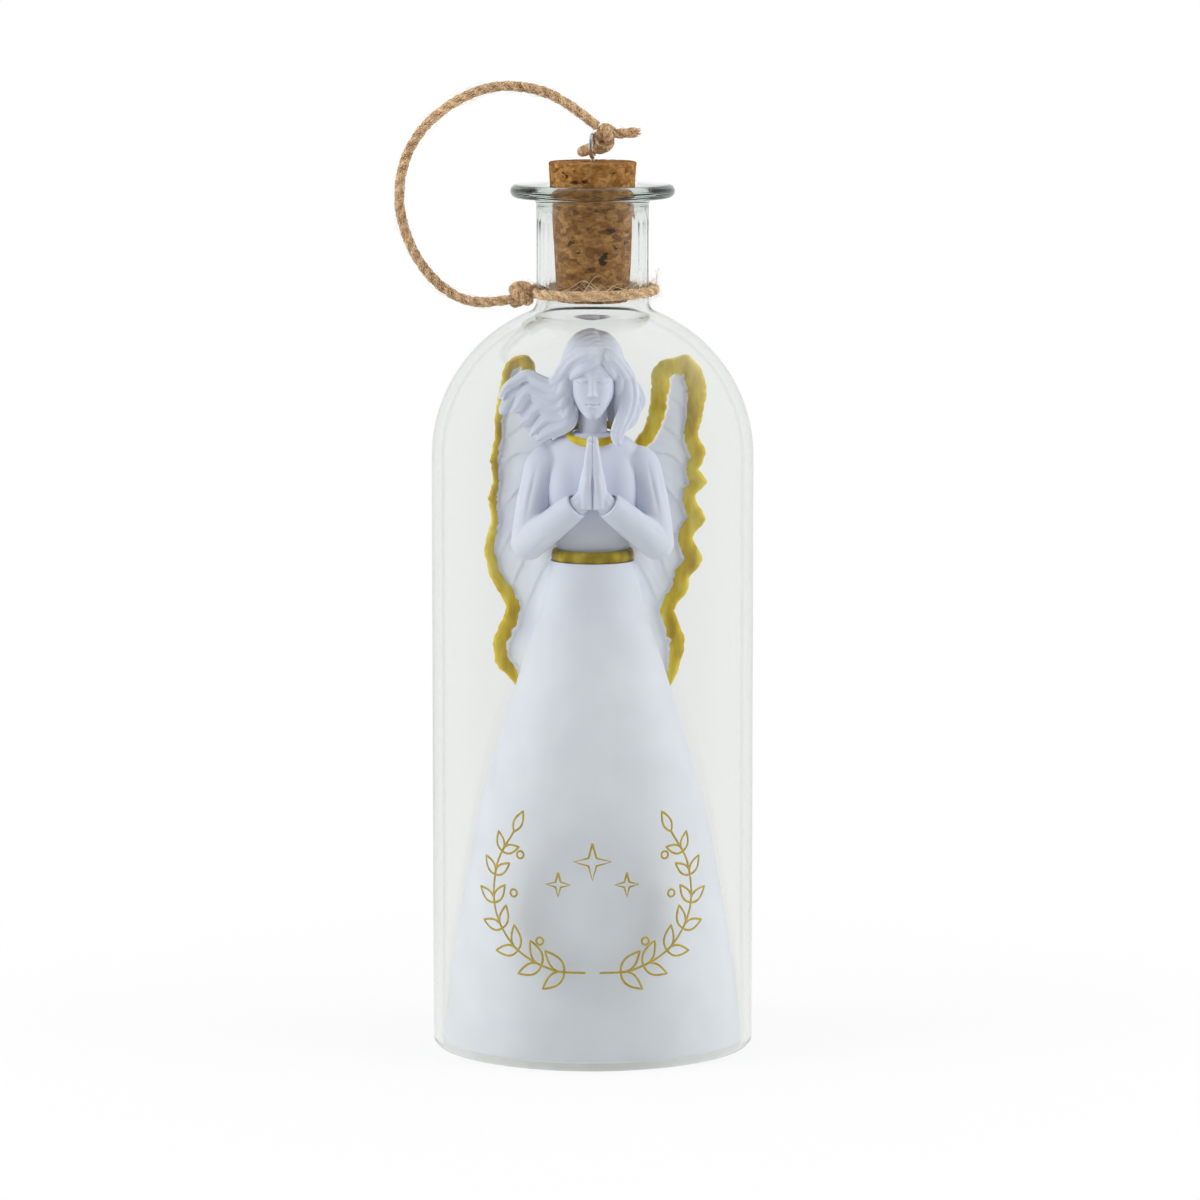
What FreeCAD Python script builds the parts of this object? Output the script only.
"""A corked glass bottle that holds a praying angel figure, with a twine tether from neck to cork.

Frame: millimetres, +Z up, origin at the centre of the pad that the bottle stands on. The figure
faces -Y, and left and right are as seen from the front, so left is -X.
"""

import FreeCAD
import Part
import math
import os
from FreeCAD import Vector

# Glass bottle: a straight body, a domed shoulder, a straight neck and a flanged lip, open at the bottom
BOTTLE_DIAMETER = 69.85
GLASS_WALL = 2.2
SHOULDER_START = 129.3
SHOULDER_RADIUS = 33.9
NECK_DIAMETER = 24.4
NECK_FILLET = 2.5
NECK_LENGTH = 25.2
LIP_OVERHANG = 5.6
LIP_THICKNESS = 2.9
LIP_FILLET = 1.6
MOUTH_ROUND = 1.2
SEAT_STEP = 0.82
SEAT_LENGTH = 4.0
SEAT_RELIEF = 3.0
RIM_LIFT = 0.3

# Base plug that closes the bottle, and the felt pad in its recess
PLUG_CLEARANCE = 0.15
PLUG_FLANGE = 2.0
SPIGOT_HEIGHT = 3.0
SPIGOT_CLEARANCE = 0.2
PLUG_RIM = 3.375
PAD_THICKNESS = 1.0
PAD_CLEARANCE = 0.2

# Cork stopper
CORK_LENGTH = 30.3
CORK_STANDS_OUT = 4.9
CORK_TAPER_DEGREES = 3.68
CORK_CHAMFER = 0.4
CORK_CLEARANCE = 0.04

# Screw eye in the cork
EYE_WIRE = 0.9
EYE_DIAMETER = 5.7
EYE_NECK = 0.5
EYE_SHANK = 9.0
EYE_TURN_DEGREES = 10.0
EYE_CLEARANCE = 0.02

# Twine: a collar round the neck, a knot on it, a free tether and a loop knotted through the screw eye
TWINE_DIAMETER = 1.9
COLLAR_ABOVE_NECK_FILLET = 2.2
COLLAR_CLEARANCE = 0.2
NECK_KNOT_LENGTH = 5.9
NECK_KNOT_WIDTH = 5.0
NECK_KNOT_BEARING = 196.0
NECK_KNOT_STANDS_OUT = 2.7
NECK_KNOT_DROP = 0.7
EYE_KNOT_LENGTH = 4.0
EYE_KNOT_WIDTH = 3.8
TETHER_GAP = 0.3

# The tether's route from the neck knot up to the eye knot
TETHER_ROUTE = (
    (-17.4, -5.0, 163.8),
    (-24.6, -6.0, 162.3),
    (-33.0, -5.9, 166.2),
    (-39.4, -5.3, 174.8),
    (-42.2, -4.7, 185.3),
    (-39.9, -4.0, 196.3),
    (-32.5, -3.2, 204.8),
    (-21.6, -2.2, 209.9),
    (-10.6, -1.2, 208.7),
    (-3.4, -0.5, 204.3),
    (1.0, 0.2, 200.6),
)

# The loop from the eye knot through the eye and back, and the knot's tail
EYE_LOOP_ROUTE = (
    (2.5, 0.3, 199.7),
    (4.1, -0.2, 197.8),
    (2.9, -0.3, 195.8),
    (0.2, 0.1, 195.8),
    (-2.3, 0.9, 195.1),
    (-2.3, 3.4, 195.2),
    (0.2, 4.8, 195.9),
    (2.9, 4.0, 197.0),
    (2.9, 1.5, 198.7),
)
TAIL_ROUTE = ((2.7, 0.5, 199.1), (6.2, 0.2, 199.0), (9.3, -0.2, 199.4))

# Figure: skirt, sash and bodice; the waist is the top of the skirt
WAIST_BELOW_SHOULDER = 22.6
SKIRT_WALL = 2.4
SKIRT_HEM_GAP = 1.7
SKIRT_TOP_DIAMETER = 18.2
TENON_DIAMETER = 9.0
TENON_LENGTH = 6.0
TENON_CLEARANCE = 0.1
SASH_DIAMETER = 18.0
SASH_HEIGHT = 2.6
SASH_EDGE = 0.7
BODICE_HEIGHT = 27.0
BODICE_WIDTH = 22.0
BODICE_DEPTH = 14.0

# The skirt's bell curve: how far down the skirt, and how far out from its top to its hem
SKIRT_FLARE = ((0.0, 0.0), (0.10, 0.095), (0.24, 0.32), (0.50, 0.68), (0.78, 0.925), (1.0, 1.0))

# Bodice sections: share of its height, width and depth, and share of its depth that each lies forward
BODICE_SECTIONS = (
    (0.00, 0.68, 0.82, 0.0),
    (0.20, 0.75, 0.88, 0.01),
    (0.46, 0.88, 0.99, 0.04),
    (0.65, 0.94, 1.00, 0.06),
    (0.81, 1.00, 0.85, 0.0),
    (0.93, 0.80, 0.66, -0.04),
    (1.00, 0.47, 0.56, -0.04),
)

# Figure: arms and hands, measured from the waist and the middle
SLEEVE_DIAMETER = 6.8
CUFF_DIAMETER = 5.9
SHOULDER_RISE = 20.8
SHOULDER_SPREAD = 21.6
ELBOW_FULLNESS = 1.04
ELBOW_SPREAD = 28.4
ELBOW_RISE = 3.6
ELBOW_FORWARD = 1.5
CUFF_RISE = 13.2
CUFF_SPREAD = 6.6
CUFF_FORWARD = 10.6
HAND_LENGTH = 15.0
HAND_THICKNESS = 3.2
HAND_WIDTH = 5.0
FINGERTIP_THICKNESS = 0.9
FINGERTIP_WIDTH = 2.0
PALM_GAP = 0.1

# Hand sections: share of its length, and how far its size has gone from the palm's to the fingertips'
HAND_SECTIONS = ((0.0, 0.0), (0.35, 0.0), (0.75, 0.5), (1.0, 1.0))

# Figure: head, hair and neck band
NECK_RISE = 30.7
FIGURE_NECK_DIAMETER = 6.8
FIGURE_NECK_SEAT = 3.0
NECK_SEAT_CLEARANCE = 0.05
HEAD_HEIGHT = 17.6
FACE_WIDTH = 10.6
HEAD_DEPTH = 12.6
HAIR_THICKNESS = 1.2
HAIRLINE_SHARE = 0.74
HAIRLINE_FORWARD = 2.1
BAND_DIAMETER = 11.6
BAND_THICKNESS = 1.7
BAND_TILT_DEGREES = 20.0
BAND_RISE = 0.5

# Head sections: share of its height, width and depth, and share of its depth that each lies forward
HEAD_SECTIONS = (
    (0.00, 0.26, 0.26, 0.27),
    (0.10, 0.60, 0.60, 0.17),
    (0.28, 0.90, 0.86, 0.07),
    (0.50, 1.00, 1.00, 0.02),
    (0.72, 0.97, 0.98, -0.02),
    (0.90, 0.70, 0.72, -0.04),
    (1.00, 0.25, 0.28, -0.04),
)

# Hair locks in head heights from the head's middle: thickness at the root, and points to the tip
HAIR_LOCKS = (
    (0.34, ((-0.09, 0.05, 0.30), (-0.43, 0.01, 0.31), (-0.74, 0.03, 0.23), (-1.09, 0.01, 0.30))),
    (0.35, ((-0.14, 0.02, 0.12), (-0.49, -0.02, 0.08), (-0.80, 0.00, -0.03), (-1.14, -0.01, 0.02))),
    (0.35, ((-0.14, 0.03, -0.06), (-0.45, 0.00, -0.18), (-0.77, 0.02, -0.30), (-1.14, 0.01, -0.31))),
    (0.32, ((-0.14, 0.01, -0.20), (-0.36, -0.03, -0.40), (-0.62, -0.02, -0.55), (-0.97, 0.00, -0.64))),
    (0.31, ((0.15, 0.05, 0.24), (0.42, 0.02, 0.02), (0.51, 0.05, -0.30), (0.43, 0.02, -0.70))),
    (0.25, ((0.19, -0.03, 0.08), (0.34, -0.14, -0.20), (0.33, -0.24, -0.51), (0.37, -0.27, -0.84))),
    (0.55, ((0.00, 0.14, 0.11), (-0.03, 0.18, -0.26), (-0.07, 0.22, -0.57), (-0.10, 0.24, -0.94))),
)
LOCK_SWELL = (1.0, 0.92, 0.72, 0.22)

# Wings; their points are shares of the way out to the glass at that height, and of the height of the wings
WING_HEIGHT = 44.6
WING_THICKNESS = 2.0
WING_BORDER = 2.9
BORDER_PROUD = 0.5
WING_SWEEP_DEGREES = 6.0
WING_BACK = 4.2
FEATHER_GROOVE = 0.7
WING_ROOT = (0.122, 0.336)
WING_LEADING_EDGE = (
    (0.276, 0.556),
    (0.388, 0.706),
    (0.464, 0.879),
    (0.657, 0.973),
    (0.881, 1.000),
    (0.861, 0.830),
)
FEATHER_TIPS = (
    (0.790, 0.729),
    (0.755, 0.529),
    (0.758, 0.363),
    (0.746, 0.184),
    (0.691, -0.076),
    (0.608, -0.426),
)
FEATHER_NOTCHES = (
    (0.725, 0.628),
    (0.721, 0.435),
    (0.700, 0.287),
    (0.684, 0.096),
    (0.562, -0.238),
    (0.513, -0.650),
)
WING_INNER_EDGE = ((0.244, -0.269), (0.092, 0.0))

# Sizes that follow from those above
BODY_RADIUS = BOTTLE_DIAMETER / 2
BORE_RADIUS = BODY_RADIUS - GLASS_WALL
SHOULDER_CENTRE = BODY_RADIUS - SHOULDER_RADIUS
INNER_DOME = SHOULDER_RADIUS - GLASS_WALL
NECK_RADIUS = NECK_DIAMETER / 2
NECK_BORE = NECK_RADIUS - GLASS_WALL
NECK_FILLET_RADIUS = NECK_RADIUS + NECK_FILLET
NECK_FILLET_OUT = NECK_FILLET_RADIUS - SHOULDER_CENTRE
NECK_FILLET_RISE = math.sqrt((SHOULDER_RADIUS + NECK_FILLET) ** 2 - NECK_FILLET_OUT ** 2)
NECK_START = SHOULDER_START + NECK_FILLET_RISE
GLASS_TOP = NECK_START + NECK_LENGTH
LIP_RADIUS = NECK_RADIUS + LIP_OVERHANG
SEAT_TOP = GLASS_TOP - MOUTH_ROUND
MOUTH_RADIUS = NECK_BORE - SEAT_STEP
TAPER = math.tan(math.radians(CORK_TAPER_DEGREES))
CORK_TOP = GLASS_TOP + CORK_STANDS_OUT
CORK_BOTTOM = CORK_TOP - CORK_LENGTH
CORK_TOP_RADIUS = MOUTH_RADIUS - CORK_CLEARANCE + (CORK_TOP - SEAT_TOP) * TAPER
CORK_BOTTOM_RADIUS = CORK_TOP_RADIUS - CORK_LENGTH * TAPER
EYE_RING_RADIUS = (EYE_DIAMETER - EYE_WIRE) / 2
EYE_CENTRE = CORK_TOP + EYE_NECK + EYE_DIAMETER / 2
TWINE_RADIUS = TWINE_DIAMETER / 2
COLLAR_RADIUS = NECK_RADIUS + COLLAR_CLEARANCE + TWINE_RADIUS
COLLAR_HEIGHT = NECK_START + COLLAR_ABOVE_NECK_FILLET
PLUG_TOP = RIM_LIFT + PLUG_FLANGE
PLUG_RADIUS = BORE_RADIUS - PLUG_CLEARANCE
RECESS_RADIUS = PLUG_RADIUS - PLUG_RIM
WAIST = SHOULDER_START - WAIST_BELOW_SHOULDER
SKIRT_LENGTH = WAIST - PLUG_TOP
SKIRT_HEM_RADIUS = BORE_RADIUS - SKIRT_HEM_GAP
SKIRT_TOP_RADIUS = SKIRT_TOP_DIAMETER / 2
HEAD_BASE = WAIST + NECK_RISE
HEAD_MIDDLE = HEAD_BASE + HEAD_HEIGHT / 2
SLEEVE_RADIUS = SLEEVE_DIAMETER / 2
CUFF_RADIUS = CUFF_DIAMETER / 2

ORIGIN = Vector(0, 0, 0)
UP = Vector(0, 0, 1)
RIGHTWARD = Vector(1, 0, 0)
BACKWARD = Vector(0, 1, 0)
FULL_TURN = 360
RING_POINTS = 8
TWINE_SIDES = 8
KNOT_WRAPS = (0.84, 1.0, 0.84)
KNOT_VALLEY = 0.7


def in_front_plane(point):
    """A point (out, up) as a place in the XZ plane."""
    return Vector(point[0], 0, point[1])


def line(start, end):
    """A straight edge between two (out, up) points."""
    return Part.LineSegment(in_front_plane(start), in_front_plane(end)).toShape()


def arc(start, middle, end):
    """A round edge through three (out, up) points."""
    return Part.Arc(in_front_plane(start), in_front_plane(middle), in_front_plane(end)).toShape()


def corner_arc(centre, radius, from_degrees, to_degrees):
    """A round edge about a centre; degrees are measured from +X towards +Z."""
    points = []
    for degrees in (from_degrees, (from_degrees + to_degrees) / 2, to_degrees):
        angle = math.radians(degrees)
        points.append((centre[0] + radius * math.cos(angle), centre[1] + radius * math.sin(angle)))
    return arc(*points)


def spline(points):
    """A smooth edge through (out, up) points."""
    curve = Part.BSplineCurve()
    curve.interpolate([in_front_plane(point) for point in points])
    return curve.toShape()


def polyline(points):
    """Straight edges from each (out, up) point to the next."""
    return [line(a, b) for a, b in zip(points, points[1:])]


def face_of(edges):
    """The flat face inside a closed ring of edges given in order."""
    return Part.Face(Part.Wire(edges))


def revolve(edges):
    """The solid that a closed (radius, height) outline sweeps round the Z axis."""
    return face_of(edges).revolve(ORIGIN, UP, FULL_TURN)


def smooth_ring(centre, across, along):
    """A closed smooth wire through points of the ellipse that two half axes span about a centre."""
    points = []
    for index in range(RING_POINTS):
        angle = 2 * math.pi * index / RING_POINTS
        points.append(centre + across * math.cos(angle) + along * math.sin(angle))
    curve = Part.BSplineCurve()
    curve.interpolate(points, True)
    return Part.Wire(curve.toShape())


def level_ellipse(half_width, half_depth, centre):
    """A level ellipse that starts on its +X side."""
    return smooth_ring(centre, RIGHTWARD * half_width, BACKWARD * half_depth)


def loft(wires):
    """A smooth solid through a row of closed wires."""
    return Part.makeLoft(wires, True)


def section_loft(sections, width, depth, height, base):
    """A loft through level ellipses given as shares of height, width and depth, and a forward offset."""
    wires = []
    for height_share, width_share, depth_share, forward_share in sections:
        centre = Vector(0, -forward_share * depth, base + height_share * height)
        wires.append(level_ellipse(width_share * width / 2, depth_share * depth / 2, centre))
    return loft(wires)


def tapered_limb(points, radii):
    """A loft through rings square to the line through the points, turned as little as can be."""
    wires = []
    across = BACKWARD
    for index, point in enumerate(points):
        before = points[max(index - 1, 0)]
        after = points[min(index + 1, len(points) - 1)]
        direction = (after - before).normalize()
        across = (across - direction * across.dot(direction)).normalize()
        along = direction.cross(across)
        wires.append(smooth_ring(point, across * radii[index], along * radii[index]))
    return loft(wires)


def mirrored(shape):
    """The same shape on the other side of the middle."""
    return shape.mirror(ORIGIN, RIGHTWARD)


def route_path(points):
    """Straight runs joined by tangent arcs, each as large as its two runs allow, and the arcs' radii."""
    run_share = 0.45
    edges = []
    radii = []
    at = points[0]
    for before, corner, after in zip(points, points[1:], points[2:]):
        into = (before - corner).normalize()
        out_of = (after - corner).normalize()
        half_turn = (math.pi - into.getAngle(out_of)) / 2
        reach = run_share * min((before - corner).Length, (after - corner).Length)
        radius = reach / math.tan(half_turn)
        start = corner + into * reach
        end = corner + out_of * reach
        inward = (into + out_of).normalize()
        middle = corner + inward * (radius / math.cos(half_turn) - radius)
        edges.append(Part.LineSegment(at, start).toShape())
        edges.append(Part.Arc(start, middle, end).toShape())
        radii.append(radius)
        at = end
    edges.append(Part.LineSegment(at, points[-1]).toShape())
    return Part.Wire(edges), radii


def twine_section(centre, direction):
    """A regular polygon of twine, square to a direction."""
    across = direction.cross(UP).normalize()
    along = direction.cross(across).normalize()
    corners = []
    for index in range(TWINE_SIDES + 1):
        angle = 2 * math.pi * index / TWINE_SIDES
        corners.append(centre + (across * math.cos(angle) + along * math.sin(angle)) * TWINE_RADIUS)
    return Part.makePolygon(corners)


def twine_tube(name, route):
    """A tube of twine along a route; prints its bends and how well its volume fits its length."""
    points = [Vector(*point) for point in route]
    path, radii = route_path(points)
    section = twine_section(points[0], (points[1] - points[0]).normalize())
    tube = path.makePipeShell([section], True, False)
    fit = tube.Volume / (Part.Face(section).Area * path.Length)
    bends = ", ".join(f"{radius:.1f}" for radius in radii)
    print(f"{name}: length {path.Length:.1f} mm, volume fit {fit:.4f}, bend radii {bends}")
    return tube


def wrapped_knot(length, width, centre, direction):
    """A knot of wraps side by side along a direction, each flat on its crest."""
    wrap = length / len(KNOT_WRAPS)
    valley = KNOT_VALLEY * width / 2
    outline = [(0, -length / 2)]
    for index, share in enumerate(KNOT_WRAPS):
        bottom = -length / 2 + index * wrap
        crest = share * width / 2
        outline.extend(((valley, bottom), (crest, bottom + wrap / 3), (crest, bottom + 2 * wrap / 3)))
    outline.extend(((valley, length / 2), (0, length / 2), (0, -length / 2)))
    knot = revolve(polyline(outline))
    knot.Placement = FreeCAD.Placement(centre, FreeCAD.Rotation(UP, direction))
    return knot


def make_glass_bottle():
    """The glass shell, in one turned outline up the outside and down the inside."""
    dome_end = math.degrees(math.atan2(NECK_FILLET_RISE, NECK_FILLET_OUT))
    dome_centre = (SHOULDER_CENTRE, SHOULDER_START)
    fillet_centre = (NECK_FILLET_RADIUS, NECK_START)
    lip_bottom = GLASS_TOP - LIP_THICKNESS
    lip_round = LIP_THICKNESS / 2
    rim_radius = LIP_RADIUS - lip_round
    lip_corner = (NECK_RADIUS + LIP_FILLET, lip_bottom - LIP_FILLET)
    mouth_corner = (MOUTH_RADIUS + MOUTH_ROUND, SEAT_TOP)
    seat_end = (MOUTH_RADIUS - SEAT_LENGTH * TAPER, SEAT_TOP - SEAT_LENGTH)
    relief_end = (NECK_BORE, seat_end[1] - SEAT_RELIEF)
    inner_fillet = NECK_FILLET + GLASS_WALL
    edges = [
        line((BORE_RADIUS, RIM_LIFT), (BODY_RADIUS, RIM_LIFT)),
        line((BODY_RADIUS, RIM_LIFT), (BODY_RADIUS, SHOULDER_START)),
        corner_arc(dome_centre, SHOULDER_RADIUS, 0, dome_end),
        corner_arc(fillet_centre, NECK_FILLET, 180 + dome_end, 180),
        line((NECK_RADIUS, NECK_START), (NECK_RADIUS, lip_corner[1])),
        corner_arc(lip_corner, LIP_FILLET, 180, 90),
        line((lip_corner[0], lip_bottom), (rim_radius, lip_bottom)),
        corner_arc((rim_radius, GLASS_TOP - lip_round), lip_round, -90, 90),
        line((rim_radius, GLASS_TOP), (mouth_corner[0], GLASS_TOP)),
        corner_arc(mouth_corner, MOUTH_ROUND, 90, 180),
        line((MOUTH_RADIUS, SEAT_TOP), seat_end),
        line(seat_end, relief_end),
        line(relief_end, (NECK_BORE, NECK_START)),
        corner_arc(fillet_centre, inner_fillet, 180, 180 + dome_end),
        corner_arc(dome_centre, INNER_DOME, dome_end, 0),
        line((BORE_RADIUS, SHOULDER_START), (BORE_RADIUS, RIM_LIFT)),
    ]
    return revolve(edges)


def make_base_plug():
    """The disc that closes the bottle, with a recess for the pad and a spigot inside the skirt."""
    spigot = SKIRT_HEM_RADIUS - SKIRT_WALL - SPIGOT_CLEARANCE
    outline = [
        (0, PAD_THICKNESS),
        (RECESS_RADIUS, PAD_THICKNESS),
        (RECESS_RADIUS, RIM_LIFT),
        (PLUG_RADIUS, RIM_LIFT),
        (PLUG_RADIUS, PLUG_TOP),
        (spigot, PLUG_TOP),
        (spigot, PLUG_TOP + SPIGOT_HEIGHT),
        (0, PLUG_TOP + SPIGOT_HEIGHT),
        (0, PAD_THICKNESS),
    ]
    return revolve(polyline(outline))


def make_base_pad():
    """The felt disc that the bottle stands on."""
    return Part.makeCylinder(RECESS_RADIUS - PAD_CLEARANCE, PAD_THICKNESS)


def make_cork_stopper():
    """A tapered cork with broken edges and a pilot hole for the screw eye."""
    top_edge = CORK_TOP_RADIUS - CORK_CHAMFER * TAPER
    bottom_edge = CORK_BOTTOM_RADIUS + CORK_CHAMFER * TAPER
    hole = EYE_WIRE / 2 + EYE_CLEARANCE
    hole_bottom = CORK_TOP - EYE_SHANK
    outline = [
        (0, CORK_BOTTOM),
        (CORK_BOTTOM_RADIUS - CORK_CHAMFER, CORK_BOTTOM),
        (bottom_edge, CORK_BOTTOM + CORK_CHAMFER),
        (top_edge, CORK_TOP - CORK_CHAMFER),
        (CORK_TOP_RADIUS - CORK_CHAMFER, CORK_TOP),
        (hole, CORK_TOP),
        (hole, hole_bottom),
        (0, hole_bottom),
        (0, CORK_BOTTOM),
    ]
    return revolve(polyline(outline))


def make_screw_eye():
    """A wire ring on a straight shank that fills the cork's pilot hole."""
    wire = EYE_WIRE / 2
    ring = Part.makeTorus(EYE_RING_RADIUS, wire, Vector(0, 0, EYE_CENTRE), RIGHTWARD)
    shank_bottom = CORK_TOP - EYE_SHANK
    shank_length = EYE_CENTRE - EYE_RING_RADIUS - shank_bottom
    shank = Part.makeCylinder(wire, shank_length, Vector(0, 0, shank_bottom))
    eye = ring.fuse(shank)
    eye.rotate(ORIGIN, UP, -EYE_TURN_DEGREES)
    return eye


def make_twine():
    """The collar, its knot, the tether and the knotted loop in the eye."""
    bearing = math.radians(NECK_KNOT_BEARING)
    outward = Vector(math.cos(bearing), math.sin(bearing), 0)
    knot_radius = COLLAR_RADIUS + NECK_KNOT_STANDS_OUT
    knot_centre = outward * knot_radius + Vector(0, 0, COLLAR_HEIGHT - NECK_KNOT_DROP)
    neck_knot = wrapped_knot(NECK_KNOT_LENGTH, NECK_KNOT_WIDTH, knot_centre, outward)
    section = twine_section(Vector(COLLAR_RADIUS, 0, COLLAR_HEIGHT), BACKWARD)
    collar = Part.Face(section).revolve(ORIGIN, UP, FULL_TURN)
    tether = twine_tube("tether_twine", TETHER_ROUTE)
    end = Vector(*TETHER_ROUTE[-1])
    last_run = (end - Vector(*TETHER_ROUTE[-2])).normalize()
    eye_knot_centre = end + last_run * (TETHER_GAP + EYE_KNOT_LENGTH / 2)
    eye_knot = wrapped_knot(EYE_KNOT_LENGTH, EYE_KNOT_WIDTH, eye_knot_centre, last_run)
    eye_loop = twine_tube("eye loop", EYE_LOOP_ROUTE)
    tail = twine_tube("tail", TAIL_ROUTE)
    return {
        "neck_twine": collar.cut(neck_knot),
        "neck_knot": neck_knot,
        "tether_twine": tether.cut(neck_knot),
        "eye_knot": eye_knot.fuse([eye_loop, tail]),
    }


def skirt_point(down_share, out_share, wall):
    """A point of the bell curve, or of the curve inside it by a wall."""
    radius = SKIRT_TOP_RADIUS + out_share * (SKIRT_HEM_RADIUS - SKIRT_TOP_RADIUS)
    return (radius - wall, WAIST - down_share * SKIRT_LENGTH)


def make_skirt_bell():
    """The skirt's outer form as a full solid, down to the base plug."""
    outside = [skirt_point(down, out, 0) for down, out in SKIRT_FLARE]
    edges = [
        line((0, WAIST), outside[0]),
        spline(outside),
        line(outside[-1], (0, PLUG_TOP)),
        line((0, PLUG_TOP), (0, WAIST)),
    ]
    return revolve(edges)


def make_skirt(bell):
    """The bell, hollow from below, with a socket in its top for the bodice."""
    inside = [skirt_point(down, out, SKIRT_WALL) for down, out in SKIRT_FLARE[1:]]
    crown_bottom = inside[0][1]
    edges = [
        line((0, crown_bottom), inside[0]),
        spline(inside),
        line(inside[-1], (0, PLUG_TOP)),
        line((0, PLUG_TOP), (0, crown_bottom)),
    ]
    socket_depth = TENON_LENGTH + TENON_CLEARANCE
    socket_radius = TENON_DIAMETER / 2 + TENON_CLEARANCE
    socket = Part.makeCylinder(socket_radius, socket_depth, Vector(0, 0, WAIST - socket_depth))
    return bell.cut([revolve(edges), socket])


def make_bodice():
    """The upper body, with a tenon in the skirt and a socket for the neck."""
    body = section_loft(BODICE_SECTIONS, BODICE_WIDTH, BODICE_DEPTH, BODICE_HEIGHT, WAIST)
    tenon = Part.makeCylinder(TENON_DIAMETER / 2, TENON_LENGTH, Vector(0, 0, WAIST - TENON_LENGTH))
    socket_radius = FIGURE_NECK_DIAMETER / 2 + NECK_SEAT_CLEARANCE
    socket_bottom = WAIST + BODICE_HEIGHT - FIGURE_NECK_SEAT
    socket = Part.makeCylinder(socket_radius, FIGURE_NECK_SEAT, Vector(0, 0, socket_bottom))
    return body.fuse(tenon).cut(socket)


def make_sash(bodice):
    """A band with broken edges that sits on the skirt's top, round the bodice."""
    radius = SASH_DIAMETER / 2
    top = WAIST + SASH_HEIGHT
    outline = [
        (0, WAIST),
        (radius - SASH_EDGE, WAIST),
        (radius, WAIST + SASH_EDGE),
        (radius, top - SASH_EDGE),
        (radius - SASH_EDGE, top),
        (0, top),
        (0, WAIST),
    ]
    return revolve(polyline(outline)).cut(bodice)


def make_right_sleeve():
    """A bent sleeve from inside the shoulder down to the elbow and in to the cuff at the breast."""
    root = Vector(SHOULDER_SPREAD / 2 - SLEEVE_RADIUS, 0, WAIST + SHOULDER_RISE + SLEEVE_RADIUS / 2)
    shoulder = Vector(SHOULDER_SPREAD / 2, 0, WAIST + SHOULDER_RISE)
    elbow = Vector(ELBOW_SPREAD / 2, -ELBOW_FORWARD, WAIST + ELBOW_RISE)
    cuff = Vector(CUFF_SPREAD / 2, -CUFF_FORWARD, WAIST + CUFF_RISE)
    upper_middle = (shoulder + elbow) / 2
    fore_middle = (elbow + cuff) / 2
    upper_points = (root, shoulder, upper_middle, elbow)
    upper = tapered_limb(upper_points, [SLEEVE_RADIUS] * len(upper_points))
    fore_radii = (SLEEVE_RADIUS, (SLEEVE_RADIUS + CUFF_RADIUS) / 2, CUFF_RADIUS)
    fore = tapered_limb((elbow, fore_middle, cuff), fore_radii)
    joint = Part.makeSphere(SLEEVE_RADIUS * ELBOW_FULLNESS, elbow)
    return joint.fuse([upper, fore])


def make_right_hand():
    """One of two flat hands, palm to palm, that tapers up from the wrist to the fingertips."""
    base = WAIST + CUFF_RISE
    wires = []
    for length_share, tip_share in HAND_SECTIONS:
        thickness = HAND_THICKNESS + tip_share * (FINGERTIP_THICKNESS - HAND_THICKNESS)
        width = HAND_WIDTH + tip_share * (FINGERTIP_WIDTH - HAND_WIDTH)
        centre = Vector(PALM_GAP / 2 + thickness / 2, -CUFF_FORWARD, base + length_share * HAND_LENGTH)
        wires.append(level_ellipse(thickness / 2, width / 2, centre))
    return loft(wires)


def make_head():
    """A smooth head on a neck that seats in the bodice."""
    skull = section_loft(HEAD_SECTIONS, FACE_WIDTH, HEAD_DEPTH, HEAD_HEIGHT, HEAD_BASE)
    neck_bottom = WAIST + BODICE_HEIGHT - FIGURE_NECK_SEAT
    neck_length = HEAD_MIDDLE - neck_bottom
    neck = Part.makeCylinder(FIGURE_NECK_DIAMETER / 2, neck_length, Vector(0, 0, neck_bottom))
    return skull.fuse(neck)


def make_neck_band(bodice, head):
    """A round band on the shoulders about the neck, low at the front."""
    ring = Part.makeTorus((BAND_DIAMETER - BAND_THICKNESS) / 2, BAND_THICKNESS / 2)
    ring.rotate(ORIGIN, RIGHTWARD, BAND_TILT_DEGREES)
    ring.translate(Vector(0, 0, WAIST + BODICE_HEIGHT + BAND_RISE))
    return ring.cut(bodice).cut(head)


def make_hair(neighbours):
    """A cap over the skull, open at the face, and locks that taper to their tips."""
    cap = section_loft(
        HEAD_SECTIONS[2:],
        FACE_WIDTH + 2 * HAIR_THICKNESS,
        HEAD_DEPTH + 2 * HAIR_THICKNESS,
        HEAD_HEIGHT + HAIR_THICKNESS,
        HEAD_BASE,
    )
    face_top = HAIRLINE_SHARE * HEAD_HEIGHT
    brow = Vector(0, -HAIRLINE_FORWARD, HEAD_BASE + face_top - FACE_WIDTH / 2)
    face_window = Part.makeCylinder(FACE_WIDTH / 2, HEAD_DEPTH, brow, -BACKWARD)
    lower_window = Part.makeBox(FACE_WIDTH, HEAD_DEPTH, face_top)
    lower_window.translate(Vector(-FACE_WIDTH / 2, -HAIRLINE_FORWARD - HEAD_DEPTH, brow.z - face_top))
    locks = []
    middle = Vector(0, 0, HEAD_MIDDLE)
    for thickness, points in HAIR_LOCKS:
        radii = [share * thickness * HEAD_HEIGHT / 2 for share in LOCK_SWELL]
        locks.append(tapered_limb([middle + Vector(*point) * HEAD_HEIGHT for point in points], radii))
    hair = cap.cut([face_window, lower_window]).fuse(locks)
    return hair.cut(neighbours)


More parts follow.
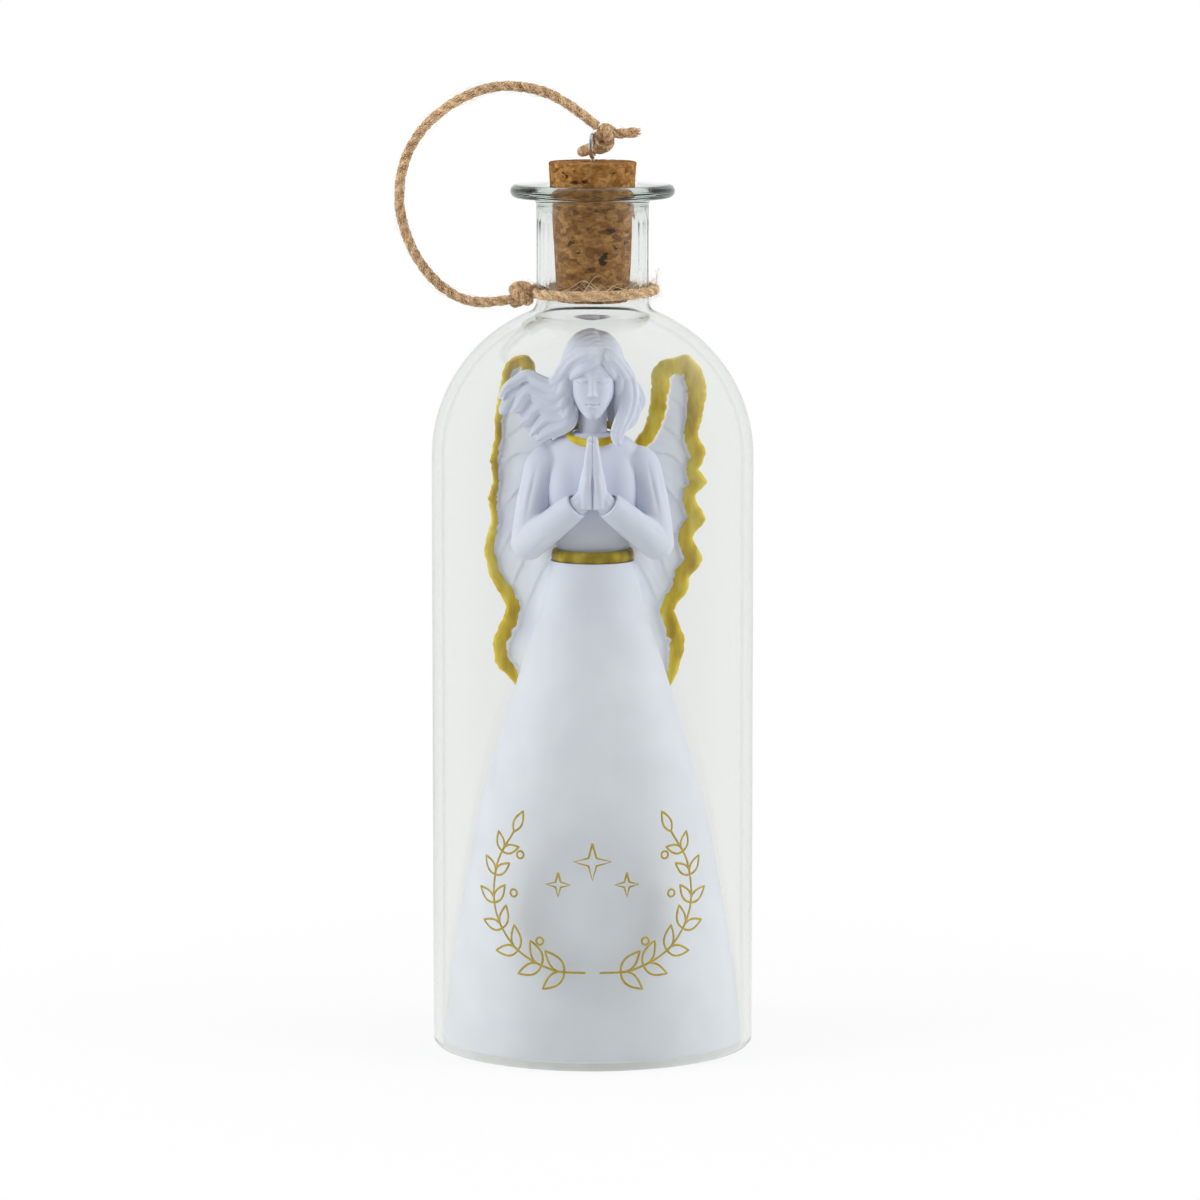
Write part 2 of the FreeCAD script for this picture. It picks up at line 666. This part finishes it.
def inset(points, distances):
    """A closed outline moved inwards, each point by its own distance square to the outline there."""
    moved = []
    count = len(points)
    for index, point in enumerate(points):
        before = Vector(*points[index - 1], 0)
        at = Vector(*point, 0)
        after = Vector(*points[(index + 1) % count], 0)
        along = (at - before).normalize() + (after - at).normalize()
        inward = along.normalize().cross(UP)
        place = at + inward * distances[index]
        moved.append((place.x, place.y))
    return moved


def wing_point(point):
    """A wing point as (out, up) from the bottle's axis and its foot."""
    height = WAIST + point[1] * WING_HEIGHT
    room = BORE_RADIUS
    if height > SHOULDER_START:
        room = SHOULDER_CENTRE + math.sqrt(INNER_DOME ** 2 - (height - SHOULDER_START) ** 2)
    return (point[0] * room, height)


def wing_face(border):
    """The right wing's outline, drawn in by a border along its leading edge and its feathers."""
    leading_count = len(WING_LEADING_EDGE)
    points = [WING_ROOT] + list(WING_LEADING_EDGE)
    for tip, notch in zip(FEATHER_TIPS, FEATHER_NOTCHES):
        points.extend((tip, notch))
    bordered = len(points) - 1
    points.extend(WING_INNER_EDGE)
    distances = [0] + [border] * bordered + [0] * len(WING_INNER_EDGE)
    points = inset([wing_point(point) for point in points], distances)
    edges = [spline(points[: leading_count + 1])]
    for index in range(leading_count, bordered, 2):
        edges.append(arc(points[index], points[index + 1], points[index + 2]))
    edges.extend(polyline(points[bordered:] + points[:1]))
    return face_of(edges)


def make_right_wing():
    """A feathered panel and the scalloped border round it, swept back from the shoulder blade."""
    border_thickness = WING_THICKNESS + 2 * BORDER_PROUD
    panel = wing_face(WING_BORDER).extrude(BACKWARD * WING_THICKNESS)
    panel.translate(Vector(0, -WING_THICKNESS / 2, 0))
    border = wing_face(0).extrude(BACKWARD * border_thickness)
    border.translate(Vector(0, -border_thickness / 2, 0))
    through = wing_face(WING_BORDER).extrude(BACKWARD * border_thickness)
    through.translate(Vector(0, -border_thickness / 2, 0))
    border = border.cut(through)
    face_side = Vector(0, -WING_THICKNESS / 2, 0)
    root = in_front_plane(wing_point(WING_LEADING_EDGE[0])) + face_side
    for notch in FEATHER_NOTCHES[:-1]:
        run = in_front_plane(wing_point(notch)) + face_side - root
        panel = panel.cut(Part.makeCylinder(FEATHER_GROOVE / 2, run.Length, root, run))
    for shape in (panel, border):
        shape.rotate(ORIGIN, UP, WING_SWEEP_DEGREES)
        shape.translate(Vector(0, WING_BACK, 0))
    return panel, border


def make_side_pieces(bodice, bell, sash):
    """The sleeve, hand, wing and wing border of each side, each cut where it meets what carries it."""
    sleeve = make_right_sleeve()
    hand = make_right_hand()
    wing, border = make_right_wing()
    pieces = {}
    for side, place in (("left", mirrored), ("right", Part.Shape.copy)):
        side_sleeve = place(sleeve).cut(bodice)
        carriers = [bodice, bell, sash, side_sleeve]
        pieces[f"{side}_sleeve"] = side_sleeve
        pieces[f"{side}_hand"] = place(hand).cut(side_sleeve)
        pieces[f"{side}_wing"] = place(wing).cut(carriers)
        pieces[f"{side}_wing_border"] = place(border).cut(carriers)
    return pieces


def make_parts():
    """Every piece by the name of its node."""
    bodice = make_bodice()
    bell = make_skirt_bell()
    head = make_head()
    sash = make_sash(bodice)
    neck_band = make_neck_band(bodice, head)
    side_pieces = make_side_pieces(bodice, bell, sash)
    hair = make_hair([head, bodice, neck_band] + list(side_pieces.values()))
    parts = {
        "glass_bottle": make_glass_bottle(),
        "base_plug": make_base_plug(),
        "base_pad": make_base_pad(),
        "figure_skirt": make_skirt(bell),
        "figure_bodice": bodice,
        "waist_sash": sash,
        "figure_head": head,
        "neck_band": neck_band,
        "figure_hair": hair,
        "cork_stopper": make_cork_stopper(),
        "screw_eye": make_screw_eye(),
    }
    parts.update(side_pieces)
    parts.update(make_twine())
    return parts


def main():
    os.makedirs("parts", exist_ok=True)
    for name, shape in make_parts().items():
        solids = len(shape.Solids)
        print(f"{name}: {solids} solid(s), valid {shape.isValid()}, {shape.Volume:.1f} mm3")
        shape.exportStep(f"parts/{name}.step")


main()
